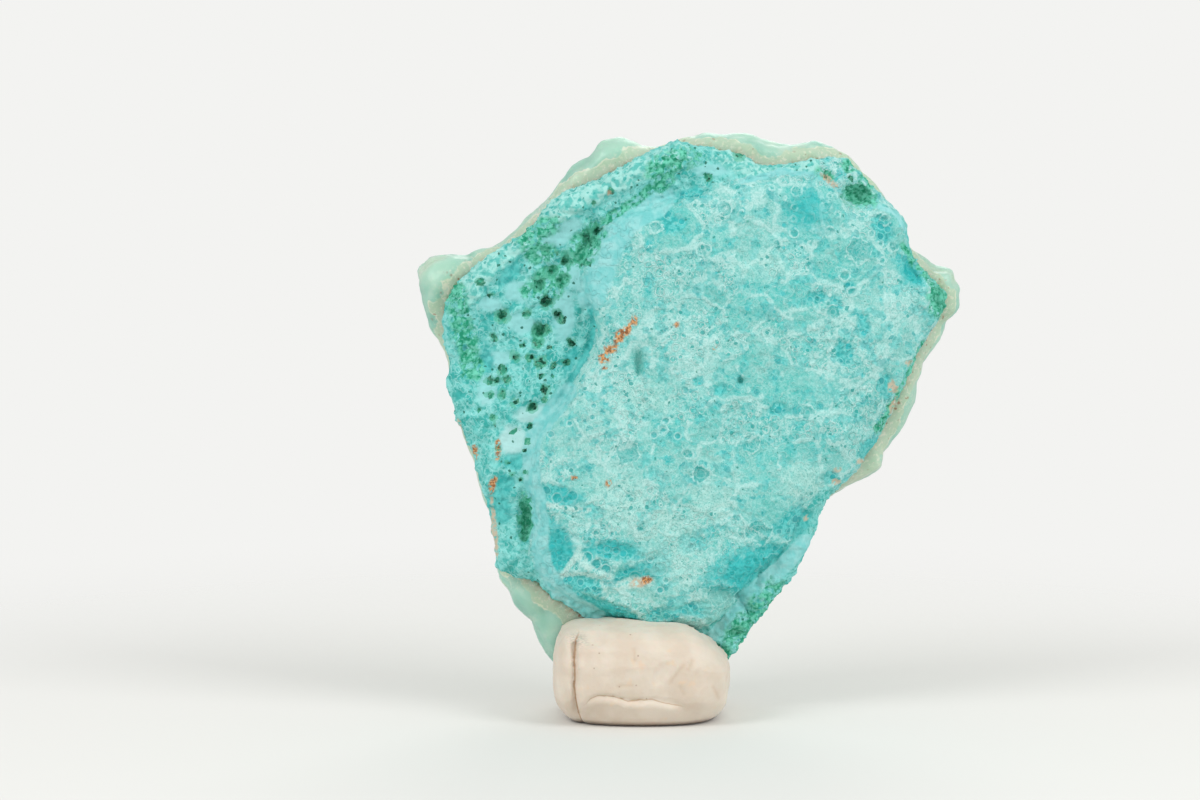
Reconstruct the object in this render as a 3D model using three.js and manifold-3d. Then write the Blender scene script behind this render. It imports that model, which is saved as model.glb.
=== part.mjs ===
// A chrysocolla specimen: a turquoise rock with a raised cellular plate on its face, backed and
// edged by a crust of pale green chalcedony, its lower end pressed into one lump of putty.
// Millimetres. X runs to the right across the face, Y away from the viewer and Z up. The origin is
// the middle of the putty's flat foot.

import * as THREE from "three";
import { mergeVertices } from "three/addons/utils/BufferGeometryUtils.js";
import Module from "manifold-3d";

const wasm = await Module();
wasm.setup();

// Depths along Y, from the plate at the front to the crust at the back.
const PLATE_FRONT = -8;
const PLATE_MIDDLE = -3;
const PLATE_BACK = -0.5;
const ROCK_FRONT = -3.5;
const ROCK_MIDDLE = -0.5;
const ROCK_BACK = 3;
const CRUST_FRONT = -0.5;
const CRUST_MIDDLE = 3.5;
const CRUST_BACK = 6.5;

// The crust ends at the back in round lobes: how many, how wide, and how far they stand out.
const BACK_LOBES = 40;
const LOBE_RADIUS = 7.5;
const LOBE_RISE = 3.4;

// The putty lump. Its plan is a square with round corners: a higher exponent is squarer.
const PUTTY_WIDTH = 29.8;
const PUTTY_DEPTH = 31;
const PUTTY_HEIGHT = 17.2;
const PUTTY_SQUARENESS = 4;
const FOLD_WIDTH = 0.8;
const CREASE_WIDTH = 0.55;

// Room that a piece leaves round the one that sits in it.
const FIT_GAP = 0.5;

// How finely the outlines are divided.
const ROCK_SIDES = 76;
const PLATE_SIDES = 56;
const CRUST_SIDES = 96;
const PUTTY_SIDES = 44;

// Outlines seen from the front, clockwise from the left, as [x, z].
const ROCK_OUTLINE = [
  [-34, 68.5], [-33, 71.5], [-30, 76], [-24, 80], [-21, 82],
  [-17, 86], [-13, 90], [-7, 92], [-1, 95.5], [3, 97.5],
  [6.5, 98.5], [10.5, 97.5], [16, 96.5], [19, 94.5], [22.5, 94],
  [27, 95], [35, 95.5], [37, 93.5], [41, 89], [44.5, 86],
  [45.5, 81.5], [47.5, 77], [52.5, 72], [51.5, 69.5], [48, 64],
  [45.5, 58], [43, 52.5], [38.5, 45], [34.5, 40], [31.5, 37.5],
  [30, 34], [28, 30], [26.5, 26], [24, 23], [19.5, 16.5],
  [16.5, 13], [14.5, 9.5], [10.5, 5], [4, 3.5], [-1.5, 6],
  [-6.5, 13], [-11, 18], [-15.5, 20.5], [-17, 22.5], [-20.5, 24],
  [-24.5, 24.5], [-25, 30], [-27, 38], [-29, 45], [-32, 52],
  [-33, 57.5], [-33, 61], [-33.5, 64.5],
];
const PLATE_OUTLINE = [
  [-10, 78], [-8, 82.5], [-5.5, 85.5], [-1, 87.5], [3, 88.5],
  [10, 91], [16, 92], [22.5, 93], [29.5, 93], [33.5, 90.5],
  [36, 87.5], [38.5, 87], [41, 85.5], [42.5, 82], [43.5, 77.5],
  [46, 73], [47.5, 69], [45, 63.5], [42.5, 58.5], [40, 53],
  [36.5, 47], [31, 40.5], [27, 35], [24, 29.5], [19.5, 25.5],
  [15.5, 20.5], [11, 16], [7, 15], [-0.5, 16], [-7, 18],
  [-13, 20.5], [-16.5, 23], [-19.5, 28.5], [-18.5, 32.5], [-18.5, 37],
  [-19.5, 40.5], [-18.5, 47], [-16.5, 51], [-13, 54.5], [-11.5, 58.5],
  [-9, 62], [-7.5, 66.5], [-8.5, 70], [-10.5, 74.5],
];
const CRUST_OUTLINE = [
  [-38.5, 76.5], [-37.5, 78], [-36, 79], [-33.5, 79], [-30.5, 78.5], [-28.5, 79.5],
  [-25.5, 80.5], [-23.5, 82], [-21.5, 84], [-19.5, 86.5], [-17.5, 88.5], [-15.5, 90],
  [-14, 91], [-13, 93.5], [-11, 94.5], [-9, 95.5], [-7.5, 97.5], [-6, 98.5],
  [-3.5, 99], [-1, 98.5], [1.5, 97.5], [4, 98], [6.5, 99], [9, 100],
  [11.5, 100.5], [13.5, 99.5], [16, 100], [18.5, 99], [22, 98.5], [25, 97.5],
  [27.5, 98.5], [30.5, 98.5], [32.5, 97.5], [35, 96], [37, 94.5], [39.5, 91.5],
  [42, 88], [44, 84.5], [45.5, 81], [47, 80.5], [48.5, 78.5], [50.5, 77],
  [53.5, 76.5], [54.5, 74.5], [54.5, 71.5], [53, 69], [51.5, 68], [51, 65.5],
  [49.5, 63.5], [49, 60.5], [47, 58], [47.5, 55.5], [46, 52.5], [43.5, 49.5],
  [42, 47], [41.5, 44], [39.5, 41.5], [36, 39.5], [33, 37.5], [30.5, 35.5],
  [28, 31], [26, 26.5], [24, 24], [24, 20.5], [21.5, 17.5], [18, 13],
  [13.5, 6], [8.5, 3.5], [-7, 3.5], [-12, 5], [-14.5, 8], [-16.5, 11],
  [-18, 14], [-20, 17.5], [-22.5, 21.5], [-24.5, 25], [-25, 29], [-26, 34.5],
  [-27.5, 38], [-28, 41.5], [-30.5, 48], [-32, 54.5], [-33.5, 61], [-34.5, 65],
  [-36, 69], [-37, 73],
];
const ROCK_CENTRE = new THREE.Vector2(8, 54);
const PLATE_CENTRE = new THREE.Vector2(13, 56);

// The rows of a pressed sphere as [share of the outline, -1 at the front face to 1 at the back],
// or from the top face to the foot on the putty.
const ROCK_ROWS = [
  [0, -1], [0.3, -1], [0.52, -1], [0.68, -1], [0.8, -1], [0.89, -1], [0.95, -0.92],
  [0.985, -0.65], [1, -0.1], [0.985, 0.6], [0.94, 1], [0.55, 1], [0, 1],
];
const PLATE_ROWS = [
  [0, -1], [0.22, -1], [0.42, -1], [0.6, -1], [0.75, -1], [0.86, -1], [0.93, -0.9],
  [0.975, -0.6], [1, 0], [0.96, 1], [0, 1],
];
const CRUST_ROWS = [
  [0, -1], [0.9, -1], [0.97, -0.7], [1, 0], [0.985, 0.45], [0.94, 0.75], [0.85, 1], [0, 1],
];
const PUTTY_ROWS = [
  [0, -1], [0.35, -1], [0.62, -0.98], [0.78, -0.93], [0.89, -0.82], [0.96, -0.6], [1, -0.2],
  [0.995, 0.3], [0.965, 0.7], [0.91, 0.93], [0.85, 1], [0, 1],
];

// A low ridge of rock along the upper left edge, as [x, z] along its crest.
const RIM_RIDGE = [
  [-31, 72], [-26, 78], [-19, 83], [-14, 87], [-7, 90.5], [0, 94], [6.5, 96],
];
// Pits in the lower part at the left, and two in the upper edge: [x, z, radius].
const PITS = [
  [-16.2, 71.4, 1.3], [-23.8, 69, 1.5], [-18.9, 69.9, 1.1], [-14.3, 68.9, 1.2], [-17.5, 66.8, 1.5],
  [-12.2, 64.4, 1.1], [-20.1, 63.9, 1], [-13.1, 78.2, 1.4], [-15.3, 76.8, 1.2], [-17.3, 74.1, 1.2],
  [-13.6, 74.3, 1.1], [-26.4, 72.6, 1.2], [-7.7, 83.6, 1.3], [-9.4, 81.4, 1.3], [-22.1, 61.9, 1],
  [-17.9, 61.2, 1], [-14.2, 60.6, 1], [-24.5, 57.8, 1.2], [-16.5, 56.4, 1.2], [-24.8, 55.2, 1.1],
  [-18.9, 53.4, 1.1], [-27.7, 53, 1.1], [-18.9, 50.3, 1], [-22.4, 48.6, 1], [11.1, 92.1, 1],
  [16, 95.3, 1],
];
// Larger hollows: [x, z, half width, half height, depth, turn in degrees].
const ROCK_CAVITIES = [
  [36.6, 89.4, 2.8, 1.6, 2.6, -25], [50, 71.6, 1.4, 2.6, 2.4, 15], [-19.9, 33.7, 1.2, 4, 2.4, 0],
  [45.8, 76.3, 1.2, 2, 2, 20], [17, 19.6, 1.3, 3.8, 2, -35],
];
const PLATE_HOLLOWS = [[16.7, 58.1, 0.9, 1.2, 1.6, 0], [-0.7, 60.5, 1.6, 3.6, 1.1, 0]];
// The putty's fold, from its top edge down its front, and the crease across it, as [x, z].
const PUTTY_FOLD = [[-11.4, 14.4], [-11.2, 12], [-11.1, 8], [-11.2, 4], [-11, 1.2]];
const PUTTY_CREASE = [[-9.4, 2.8], [-7.6, 4.2], [-4.8, 4.4], [-2.2, 3.6], [3, 3.8], [7, 2.6]];

const chrysocollaFinish = new THREE.MeshStandardMaterial({ color: 0x7fc9c3, roughness: 0.8, metalness: 0 });
const crustFinish = new THREE.MeshStandardMaterial({ color: 0xbfd8c8, roughness: 0.35, metalness: 0 });
const puttyFinish = new THREE.MeshStandardMaterial({ color: 0xe5d6c1, roughness: 0.85, metalness: 0 });

// Even steps round a smooth closed line through the outline's points, counterclockwise.
function ringOf(outline, count) {
  const corners = outline.map(([x, z]) => new THREE.Vector3(x, z, 0));
  const line = new THREE.CatmullRomCurve3(corners, true, "centripetal");
  return line.getSpacedPoints(count).slice(0, count).reverse();
}

// A sphere pressed to an outline: its rows run from the middle of one face over the rim to the
// middle of the other, and place() gives the point for a place in the outline and a row's depth.
function pressedSphere(ring, centre, rows, grow, place) {
  const sides = ring.length;
  const sphere = new THREE.SphereGeometry(1, sides, rows.length - 1);
  const position = sphere.getAttribute("position");
  const columns = sides + 1;
  for (let i = 0; i < position.count; i += 1) {
    const [share, depth] = rows[Math.floor(i / columns)];
    const edge = ring[(i % columns) % sides];
    const out = new THREE.Vector2(edge.x - centre.x, edge.y - centre.y);
    out.setLength(out.length() + grow).multiplyScalar(share);
    const point = place(centre.x + out.x, centre.y + out.y, depth);
    position.setXYZ(i, point.x, point.y, point.z);
  }
  return solidOf(sphere);
}

// A closed geometry as a solid that can be joined and cut.
function solidOf(geometry) {
  geometry.deleteAttribute("normal");
  geometry.deleteAttribute("uv");
  const merged = mergeVertices(geometry, 1e-4);
  const vertProperties = new Float32Array(merged.getAttribute("position").array);
  const triVerts = new Uint32Array(merged.getIndex().array);
  return new wasm.Manifold(new wasm.Mesh({ numProp: 3, vertProperties, triVerts }));
}

// A ball with flat faces, stretched to its half sizes and turned about Y, at [x, y, z].
function ball(centre, halfSizes, detail, turn) {
  const geometry = new THREE.IcosahedronGeometry(1, detail);
  geometry.scale(...halfSizes);
  geometry.rotateY(THREE.MathUtils.degToRad(turn));
  geometry.translate(...centre);
  return solidOf(geometry);
}

function namedMesh(name, solid, material) {
  const { vertProperties, triVerts } = solid.getMesh();
  const geometry = new THREE.BufferGeometry();
  geometry.setAttribute("position", new THREE.BufferAttribute(new Float32Array(vertProperties), 3));
  geometry.setIndex(new THREE.BufferAttribute(new Uint32Array(triVerts), 1));
  geometry.computeVertexNormals();
  const mesh = new THREE.Mesh(geometry, material);
  mesh.name = name;
  return mesh;
}

// The y of a row between a piece's front, middle and back.
function between(front, middle, back, depth) {
  return depth < 0 ? middle + (middle - front) * depth : middle + (back - middle) * depth;
}

function bump(x, z, centreX, centreZ, radius) {
  return Math.exp(-((x - centreX) ** 2 + (z - centreZ) ** 2) / radius ** 2);
}

// Share of the rim ridge's height at a point: 1 on its crest, falling off to each side.
function ridgeShare(x, z) {
  const halfWidth = 3;
  const point = new THREE.Vector3(x, z, 0);
  const nearest = new THREE.Vector3();
  let distance = Infinity;
  for (let i = 1; i < RIM_RIDGE.length; i += 1) {
    const start = new THREE.Vector3(...RIM_RIDGE[i - 1], 0);
    const end = new THREE.Vector3(...RIM_RIDGE[i], 0);
    new THREE.Line3(start, end).closestPointToPoint(point, true, nearest);
    distance = Math.min(distance, nearest.distanceTo(point));
  }
  return Math.exp(-((distance / halfWidth) ** 2));
}

// The lower rock's front: a ridge at the upper left, a shallow bowl where the pits are, a rise
// towards the right edge and a slope back at the bottom.
function rockFrontAt(x, z) {
  const rightRise = 2 * THREE.MathUtils.smoothstep(x, 4, 36);
  const bowl = 1.1 * bump(x, z, -17, 66, 11);
  const lowerSlope = 2.2 * (1 - THREE.MathUtils.smoothstep(z, 10, 26));
  const waves = 0.35 * Math.sin(0.42 * x + 0.2 * z) + 0.3 * Math.sin(0.45 * z - 0.2 * x);
  return ROCK_FRONT - 2.2 * ridgeShare(x, z) - rightRise + bowl + lowerSlope + waves;
}

// The plate's front: a slight crown with three broad swells.
function plateFrontAt(x, z) {
  const crown = 0.0011 * ((x - 12) ** 2 + 0.7 * (z - 52) ** 2);
  const swells = 0.8 * bump(x, z, -5, 40, 12) + 0.9 * bump(x, z, 28, 72, 13) + 0.7 * bump(x, z, 6, 80, 9);
  const waves = 0.3 * Math.sin(0.33 * x - 0.21 * z) + 0.25 * Math.sin(0.36 * z + 0.17 * x);
  return PLATE_FRONT + crown - swells + waves;
}

// The rock's body and its plate, before the pits are cut. grow swells them for a clear fit.
function rockBody(grow) {
  const bodyPoint = (x, z, depth) => {
    const y = between(rockFrontAt(x, z) - grow, ROCK_MIDDLE, ROCK_BACK + grow, depth);
    return new THREE.Vector3(x, y, z);
  };
  const platePoint = (x, z, depth) => {
    const y = between(plateFrontAt(x, z) - grow, PLATE_MIDDLE, PLATE_BACK, depth);
    return new THREE.Vector3(x, y, z);
  };
  const body = pressedSphere(ringOf(ROCK_OUTLINE, ROCK_SIDES), ROCK_CENTRE, ROCK_ROWS, grow, bodyPoint);
  const plate = pressedSphere(ringOf(PLATE_OUTLINE, PLATE_SIDES), PLATE_CENTRE, PLATE_ROWS, grow, platePoint);
  return body.add(plate);
}

function hollow(frontAt, [x, z, halfWidth, halfHeight, depth, turn]) {
  return ball([x, frontAt(x, z), z], [halfWidth, depth, halfHeight], 1, turn);
}

function chrysocolla() {
  let rock = rockBody(0);
  for (const [x, z, radius] of PITS) {
    rock = rock.subtract(ball([x, rockFrontAt(x, z), z], [radius, 1.6 * radius, radius], 0, 31 * x));
  }
  for (const cavity of ROCK_CAVITIES) rock = rock.subtract(hollow(rockFrontAt, cavity));
  for (const cavity of PLATE_HOLLOWS) rock = rock.subtract(hollow(plateFrontAt, cavity));
  return rock;
}

// The lobes' middles follow a sunflower spiral, so that they lie close and nowhere in rows.
function lobeMiddles() {
  const goldenTurn = Math.PI * (3 - Math.sqrt(5));
  const reach = 50;
  const middles = [];
  for (let i = 0; i < BACK_LOBES; i += 1) {
    const out = reach * Math.sqrt((i + 0.5) / BACK_LOBES);
    const x = ROCK_CENTRE.x + 0.9 * out * Math.cos(i * goldenTurn);
    const z = ROCK_CENTRE.y + out * Math.sin(i * goldenTurn);
    middles.push([x, z, LOBE_RADIUS * (1 + 0.3 * Math.sin(2.4 * i))]);
  }
  return middles;
}

// How far the crust's back stands out at a point: the highest of the round lobes there.
function lobeRiseAt(x, z, middles) {
  let rise = 0;
  for (const [middleX, middleZ, radius] of middles) {
    const share = Math.min(1, Math.hypot(x - middleX, z - middleZ) / radius);
    rise = Math.max(rise, (LOBE_RISE / LOBE_RADIUS) * radius * Math.sqrt(1 - share ** 2));
  }
  return rise;
}

// A block that ends at the back in the crust's lobes, on a grid of even steps.
function lobedBlock(grow) {
  const width = 110;
  const thickness = 2;
  const steps = 31;
  const middles = lobeMiddles();
  const block = new THREE.BoxGeometry(width, thickness, width, steps, 1, steps);
  block.translate(ROCK_CENTRE.x, CRUST_FRONT - thickness, ROCK_CENTRE.y);
  const position = block.getAttribute("position");
  for (let i = 0; i < position.count; i += 1) {
    const isBack = position.getY(i) > CRUST_FRONT - thickness;
    const lobes = lobeRiseAt(position.getX(i), position.getZ(i), middles);
    if (isBack) position.setY(i, CRUST_BACK + lobes + grow);
  }
  return solidOf(block);
}

// The crust before the rock's seat is cut out of it.
function crustBody(grow) {
  const deepest = CRUST_BACK + 1.4 * LOBE_RISE;
  const slabPoint = (x, z, depth) => {
    const y = between(CRUST_FRONT - grow, CRUST_MIDDLE, deepest + grow, depth);
    return new THREE.Vector3(x, y, z);
  };
  const ring = ringOf(CRUST_OUTLINE, CRUST_SIDES);
  return pressedSphere(ring, ROCK_CENTRE, CRUST_ROWS, grow, slabPoint).intersect(lobedBlock(grow));
}

// The putty's top falls off a little to the right and at the front and back.
function puttyHeightAt(x, y) {
  return PUTTY_HEIGHT - 0.6 * THREE.MathUtils.smoothstep(x, 4, 14) - 0.004 * y ** 2;
}

function puttyBody() {
  const squarer = (value) => Math.sign(value) * Math.abs(value) ** (2 / PUTTY_SQUARENESS);
  const ring = [];
  for (let i = 0; i < PUTTY_SIDES; i += 1) {
    const turn = (i / PUTTY_SIDES) * 2 * Math.PI;
    const x = 0.5 * PUTTY_WIDTH * squarer(Math.cos(turn));
    const y = 0.5 * PUTTY_DEPTH * squarer(Math.sin(turn));
    ring.push(new THREE.Vector3(x, y, 0));
  }
  return pressedSphere(ring, new THREE.Vector2(0, 0), PUTTY_ROWS, 0, (x, y, depth) => {
    return new THREE.Vector3(x, y, 0.5 * (1 - depth) * puttyHeightAt(x, y));
  });
}

// The y of the putty's front at a place on it, between two of its rows.
function puttyFrontAt(x, z) {
  const depth = 1 - (2 * z) / puttyHeightAt(x, 0.5 * PUTTY_DEPTH);
  const next = PUTTY_ROWS.findIndex(([, rowDepth]) => rowDepth >= depth);
  const [shareAbove, depthAbove] = PUTTY_ROWS[next - 1];
  const [shareBelow, depthBelow] = PUTTY_ROWS[next];
  const share = THREE.MathUtils.mapLinear(depth, depthAbove, depthBelow, shareAbove, shareBelow);
  const across = Math.abs(x / (0.5 * PUTTY_WIDTH * share)) ** PUTTY_SQUARENESS;
  return -0.5 * PUTTY_DEPTH * share * (1 - across) ** (1 / PUTTY_SQUARENESS);
}

// A groove with a V section along a line of [x, z] points on the putty's front.
function puttyGroove(points, width) {
  const corners = [[-width, 0], [0, -width], [width, 0], [0, width]];
  const section = new THREE.Shape(corners.map(([x, y]) => new THREE.Vector2(x, y)));
  const onFront = points.map(([x, z]) => new THREE.Vector3(x, puttyFrontAt(x, z), z));
  const line = new THREE.CatmullRomCurve3(onFront);
  return solidOf(new THREE.ExtrudeGeometry(section, { steps: 8, extrudePath: line, bevelEnabled: false }));
}

function puttyBase() {
  return puttyBody()
    .subtract(puttyGroove(PUTTY_FOLD, FOLD_WIDTH))
    .subtract(puttyGroove(PUTTY_CREASE, CREASE_WIDTH))
    .subtract(rockBody(FIT_GAP))
    .subtract(crustBody(FIT_GAP));
}

const specimen = new THREE.Group();
specimen.add(
  namedMesh("chrysocolla", chrysocolla(), chrysocollaFinish),
  namedMesh("chalcedony_crust", crustBody(0).subtract(rockBody(FIT_GAP)), crustFinish),
  namedMesh("putty_base", puttyBase(), puttyFinish),
);

export default specimen;
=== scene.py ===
# A chrysocolla specimen that stands in a lump of putty: a turquoise rock with a raised plate full
# of small round cells on its face, and a crust of pale green chalcedony behind it. Metres, with X
# to the right across the face, Y away from the camera and Z up. Lists of places are millimetres.

from math import cos, radians, sin

import bpy
import numpy as np
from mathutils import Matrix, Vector, noise
from mathutils.bvhtree import BVHTree


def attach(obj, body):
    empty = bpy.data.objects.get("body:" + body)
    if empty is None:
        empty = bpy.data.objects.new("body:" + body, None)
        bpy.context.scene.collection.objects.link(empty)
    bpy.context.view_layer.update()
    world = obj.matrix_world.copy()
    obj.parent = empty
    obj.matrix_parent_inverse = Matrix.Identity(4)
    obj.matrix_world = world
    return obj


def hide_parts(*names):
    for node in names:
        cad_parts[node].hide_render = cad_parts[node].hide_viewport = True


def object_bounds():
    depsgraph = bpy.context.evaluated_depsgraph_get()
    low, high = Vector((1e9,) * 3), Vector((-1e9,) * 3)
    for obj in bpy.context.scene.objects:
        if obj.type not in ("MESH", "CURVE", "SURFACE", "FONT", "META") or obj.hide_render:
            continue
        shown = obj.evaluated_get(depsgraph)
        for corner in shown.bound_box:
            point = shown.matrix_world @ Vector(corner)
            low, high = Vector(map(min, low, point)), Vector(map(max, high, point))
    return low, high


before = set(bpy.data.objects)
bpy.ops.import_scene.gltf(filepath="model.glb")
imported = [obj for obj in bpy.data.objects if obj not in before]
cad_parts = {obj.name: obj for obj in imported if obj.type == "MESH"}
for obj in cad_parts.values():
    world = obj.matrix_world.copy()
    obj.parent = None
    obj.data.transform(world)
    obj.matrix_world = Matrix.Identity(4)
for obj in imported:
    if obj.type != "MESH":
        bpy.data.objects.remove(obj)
cad_low, cad_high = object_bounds()
MM = 0.001


# Camera: a long lens, slightly above the specimen, which stands right of the picture's middle.
CAMERA_RISE = 4.5
LENS = 100
SENSOR = 36
VIEW_WIDTH = 204 * MM
AIM_SHIFT = Vector((-15.2, -4, 4.4)) * MM
aim = (cad_low + cad_high) / 2 + AIM_SHIFT
camera_distance = VIEW_WIDTH * LENS / SENSOR
bpy.ops.object.camera_add(
    location=aim + camera_distance * Vector((0, -cos(radians(CAMERA_RISE)), sin(radians(CAMERA_RISE)))),
    rotation=(radians(90 - CAMERA_RISE), 0, 0),
)
camera = bpy.context.object
camera.data.lens = LENS
camera.data.sensor_width = SENSOR
camera.data.clip_start = 0.01
bpy.context.scene.camera = camera
bpy.context.scene.view_settings.view_transform = "Standard"


# Light: a white room on all sides, with wide soft lights high at the left, at the right and behind.
def colour(red, green, blue):
    """A colour as picked from a picture, 0 to 255, as the shaders take it."""
    shares = [part / 255 for part in (red, green, blue)]
    return tuple(s / 12.92 if s < 0.04045 else ((s + 0.055) / 1.055) ** 2.4 for s in shares) + (1,)


ROOM_WHITE = colour(243, 243, 241)
ROOM_LIGHT = 0.73
world = bpy.data.worlds.new("white_room")
world.use_nodes = True
tree = world.node_tree
seen_room = tree.nodes["Background"]
seen_room.inputs["Color"].default_value = ROOM_WHITE
lit_room = tree.nodes.new("ShaderNodeBackground")
lit_room.inputs["Color"].default_value = ROOM_WHITE
lit_room.inputs["Strength"].default_value = ROOM_LIGHT
seen = tree.nodes.new("ShaderNodeLightPath").outputs["Is Camera Ray"]
both = tree.nodes.new("ShaderNodeMixShader")
tree.links.new(seen, both.inputs[0])
tree.links.new(lit_room.outputs[0], both.inputs[1])
tree.links.new(seen_room.outputs[0], both.inputs[2])
tree.links.new(both.outputs[0], tree.nodes["World Output"].inputs["Surface"])
bpy.context.scene.world = world

LIGHT_SIZE = 0.36
# Each light's place and its power in watts.
SOFT_LIGHTS = {
    "left_light": ((-0.5, -0.42, 0.46), 2.3),
    "right_light": ((0.52, -0.36, 0.42), 2.2),
    "back_light": ((0.1, 0.6, 0.5), 1.0),
}
for light_name, (light_place, power) in SOFT_LIGHTS.items():
    bpy.ops.object.light_add(type="AREA", location=light_place)
    soft_light = bpy.context.object
    soft_light.name = light_name
    soft_light.rotation_euler = (aim - Vector(light_place)).to_track_quat("-Z", "Y").to_euler()
    soft_light.data.size = LIGHT_SIZE
    soft_light.data.energy = power


# Floor: a pale sheet under the putty, which fades into the white room away from it.
def add_node(tree, kind, inputs=None, **settings):
    """Adds a shader node. Each input is a value, or a socket that is linked to it."""
    made = tree.nodes.new(kind)
    for name, value in settings.items():
        setattr(made, name, value)
    for name, value in (inputs or {}).items():
        if isinstance(value, bpy.types.NodeSocket):
            tree.links.new(value, made.inputs[name])
        else:
            made.inputs[name].default_value = value
    return made


def math_node(tree, operation, first, second=0.0):
    return add_node(tree, "ShaderNodeMath", {0: first, 1: second}, operation=operation).outputs[0]


def rise_between(tree, value, low, high):
    """0 below low and 1 above high, with a soft step between. It falls where low is above high."""
    inputs = {"Value": value, "From Min": low, "From Max": high}
    return add_node(tree, "ShaderNodeMapRange", inputs, interpolation_type="SMOOTHSTEP").outputs[0]


FLOOR_RADIUS = 0.6
FLOOR_CLEAR = (0.06, 0.26)
bpy.ops.mesh.primitive_circle_add(vertices=96, radius=FLOOR_RADIUS, fill_type="NGON")
floor = bpy.context.object
floor.name = "floor"
floor_material = bpy.data.materials.new("pale_sheet")
floor_material.use_nodes = True
tree = floor_material.node_tree
sheet = tree.nodes["Principled BSDF"]
sheet.inputs["Base Color"].default_value = colour(228, 228, 225)
sheet.inputs["Roughness"].default_value = 0.9
sheet.inputs["Specular IOR Level"].default_value = 0.1
place = add_node(tree, "ShaderNodeTexCoord").outputs["Object"]
distance = add_node(tree, "ShaderNodeVectorMath", {0: place}, operation="LENGTH").outputs["Value"]
fade = rise_between(tree, distance, *FLOOR_CLEAR)
clear = add_node(tree, "ShaderNodeBsdfTransparent").outputs[0]
faded = add_node(tree, "ShaderNodeMixShader", {0: fade, 1: sheet.outputs[0], 2: clear}).outputs[0]
tree.links.new(faded, tree.nodes["Material Output"].inputs["Surface"])
floor.data.materials.append(floor_material)


# Chrysocolla: one grown piece of turquoise stone. A raised plate of small round cells stands in
# front of a lower part at the left that is full of pits, and green malachite lines the pits and
# the broken edges. Its mesh is the solid's, made even and fine, with the relief raised in code.
def select_only(piece):
    bpy.ops.object.select_all(action="DESELECT")
    piece.select_set(True)
    bpy.context.view_layer.objects.active = piece


def even_copy(node, name, step, smoothing):
    """A copy of a solid as one mesh of even squares, with the solid's flat faces smoothed away."""
    piece = bpy.data.objects.new(name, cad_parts[node].data.copy())
    bpy.context.scene.collection.objects.link(piece)
    select_only(piece)
    piece.data.materials.clear()
    bpy.ops.object.mode_set(mode="EDIT")
    bpy.ops.mesh.select_all(action="SELECT")
    bpy.ops.mesh.remove_doubles(threshold=0.001 * MM)
    bpy.ops.object.mode_set(mode="OBJECT")
    even = piece.modifiers.new("even", "REMESH")
    even.mode = "VOXEL"
    even.voxel_size = step
    bpy.ops.object.modifier_apply(modifier="even")
    soft = piece.modifiers.new("soft", "SMOOTH")
    soft.iterations = smoothing
    bpy.ops.object.modifier_apply(modifier="soft")
    return piece


def split_faces(piece, facing):
    """Divides the faces whose normal leans less to the back than facing."""
    bpy.ops.object.mode_set(mode="EDIT")
    bpy.ops.mesh.select_mode(type="FACE")
    bpy.ops.mesh.select_all(action="DESELECT")
    bpy.ops.object.mode_set(mode="OBJECT")
    for face in piece.data.polygons:
        face.select = face.normal.y < facing
    bpy.ops.object.mode_set(mode="EDIT")
    bpy.ops.mesh.subdivide(number_cuts=1)
    bpy.ops.object.mode_set(mode="OBJECT")


def points_of(piece):
    """The places and normals of a mesh's points, places in millimetres."""
    places = np.empty(3 * len(piece.data.vertices))
    piece.data.vertices.foreach_get("co", places)
    normals = np.empty(3 * len(piece.data.vertices))
    piece.data.vertex_normals.foreach_get("vector", normals)
    return places.reshape(-1, 3) / MM, normals.reshape(-1, 3)


def move_points(piece, places):
    piece.data.vertices.foreach_set("co", (places * MM).ravel())
    piece.data.update()


def keep_shares(piece, **shares):
    """Keeps named shares for each point, for the piece's shader to read."""
    for name, share in shares.items():
        kept = piece.data.attributes.new(name, "FLOAT", "POINT")
        kept.data.foreach_set("value", np.clip(share, 0, 4).astype(np.float32))


def waver(places, size, octaves=3, seed=0.0):
    """Noise of about -1 to 1, with lumps of that size in millimetres."""
    return np.array([noise.fractal(Vector(p), 0.7, 2, octaves) for p in places / size + seed])


def cell_fields(places, size):
    """For cells of that size in millimetres: 1 on their walls and 0 inside, and the middle of the
    cell that each point lies in."""
    walls = np.empty(len(places))
    middles = np.empty(places.shape)
    for i, point in enumerate(places / size):
        gaps, nearest = noise.voronoi(Vector(point))
        walls[i] = gaps[1] - gaps[0]
        middles[i] = nearest[0]
    return np.clip(1 - walls / 0.3, 0, 1), middles * size


def line_distance(places, line):
    """How far each point is from a line of [x, z] places, seen from the front."""
    nearest = np.full(len(places), 1000.0)
    for (x, z), (next_x, next_z) in zip(line, line[1:]):
        run = np.array([next_x - x, next_z - z])
        out = places[:, [0, 2]] - (x, z)
        share = np.clip(out @ run / (run @ run), 0, 1)
        nearest = np.minimum(nearest, np.linalg.norm(out - share[:, None] * run, axis=1))
    return nearest


def ellipse_share(places, x, z, half_width, half_height, turn=0):
    """How far out each point lies in an ellipse: 0 at its middle and 1 on its line."""
    out_x = places[:, 0] - x
    out_z = places[:, 2] - z
    along = out_x * cos(radians(turn)) + out_z * sin(radians(turn))
    over = out_z * cos(radians(turn)) - out_x * sin(radians(turn))
    return np.hypot(along / half_width, over / half_height)


def soft_step(values, low, high):
    share = np.clip((values - low) / (high - low), 0, 1)
    return share * share * (3 - 2 * share)


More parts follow.
